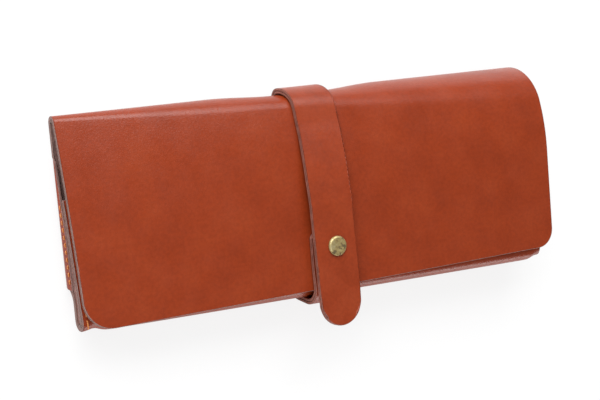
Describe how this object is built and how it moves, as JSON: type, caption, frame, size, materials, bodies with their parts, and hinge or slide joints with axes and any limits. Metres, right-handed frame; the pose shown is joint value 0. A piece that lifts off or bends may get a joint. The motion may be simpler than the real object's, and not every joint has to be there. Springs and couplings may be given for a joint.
{
  "type": "glasses case",
  "caption": "Soft leather fold-over glasses case with a wide flap, a sewn pocket and a two-ply strap round it that closes with a press stud.",
  "frame": {"origin": "centre of the whole case seen from the front, at the level of its back face", "axes": "+X along the case towards its fuller end, +Y towards the top fold, +Z out of the front"},
  "size_m": [0.168, 0.0746, 0.0221],
  "materials": {
    "leather": "satin, fine grain",
    "strap_leather": "satin, fine grain",
    "lining": "matt, napped",
    "brass": "antiqued, worn"
  },
  "bodies": {
    "root": {"back_panel": "leather", "back_lining": "lining", "bottom_fold": "leather", "bottom_lining": "lining", "pocket_front": "leather", "pocket_lining": "lining", "gusset_left": "leather", "gusset_right": "leather", "top_fold": "leather", "fold_lining": "lining", "strap_back": "strap_leather", "strap_back_lining": "strap_leather", "strap_arch": "strap_leather", "arch_lining": "strap_leather", "tongue_bend": "strap_leather", "bend_lining": "strap_leather"},
    "flap": {"flap_panel": "leather", "flap_lining": "lining"},
    "strap": {"strap_front": "strap_leather", "strap_lining": "strap_leather", "snap_cap": "brass", "snap_socket": "brass"},
    "tongue": {"tongue_front": "strap_leather", "tongue_lining": "strap_leather", "snap_stud": "brass", "snap_post": "brass"}
  },
  "joints": [
    {"name": "flap_hinge", "type": "hinge", "parent": "root", "child": "flap", "pos_m": [0, 0.03603, 0.00215], "axis": [-1, 0, 0], "range_deg": [0, 120], "deforming": ["top_fold", "fold_lining", "strap_arch", "arch_lining"]},
    {"name": "strap_hinge", "type": "hinge", "parent": "flap", "child": "strap", "pos_m": [-0.0033, 0.02581, 0.01283], "axis": [-0.9977, -0.0007, -0.0671], "range_deg": [0, 50], "deforming": ["strap_arch", "arch_lining"]},
    {"name": "tongue_hinge", "type": "hinge", "parent": "root", "child": "tongue", "pos_m": [-0.0033, -0.02965, 0.01222], "axis": [0.999, -0.0205, 0.0391], "range_deg": [0, 50], "deforming": ["tongue_bend", "bend_lining"]}
  ],
  "couplings": [
    {"joint": "tongue_hinge", "follows": "strap_hinge", "ratio": 1}
  ]
}
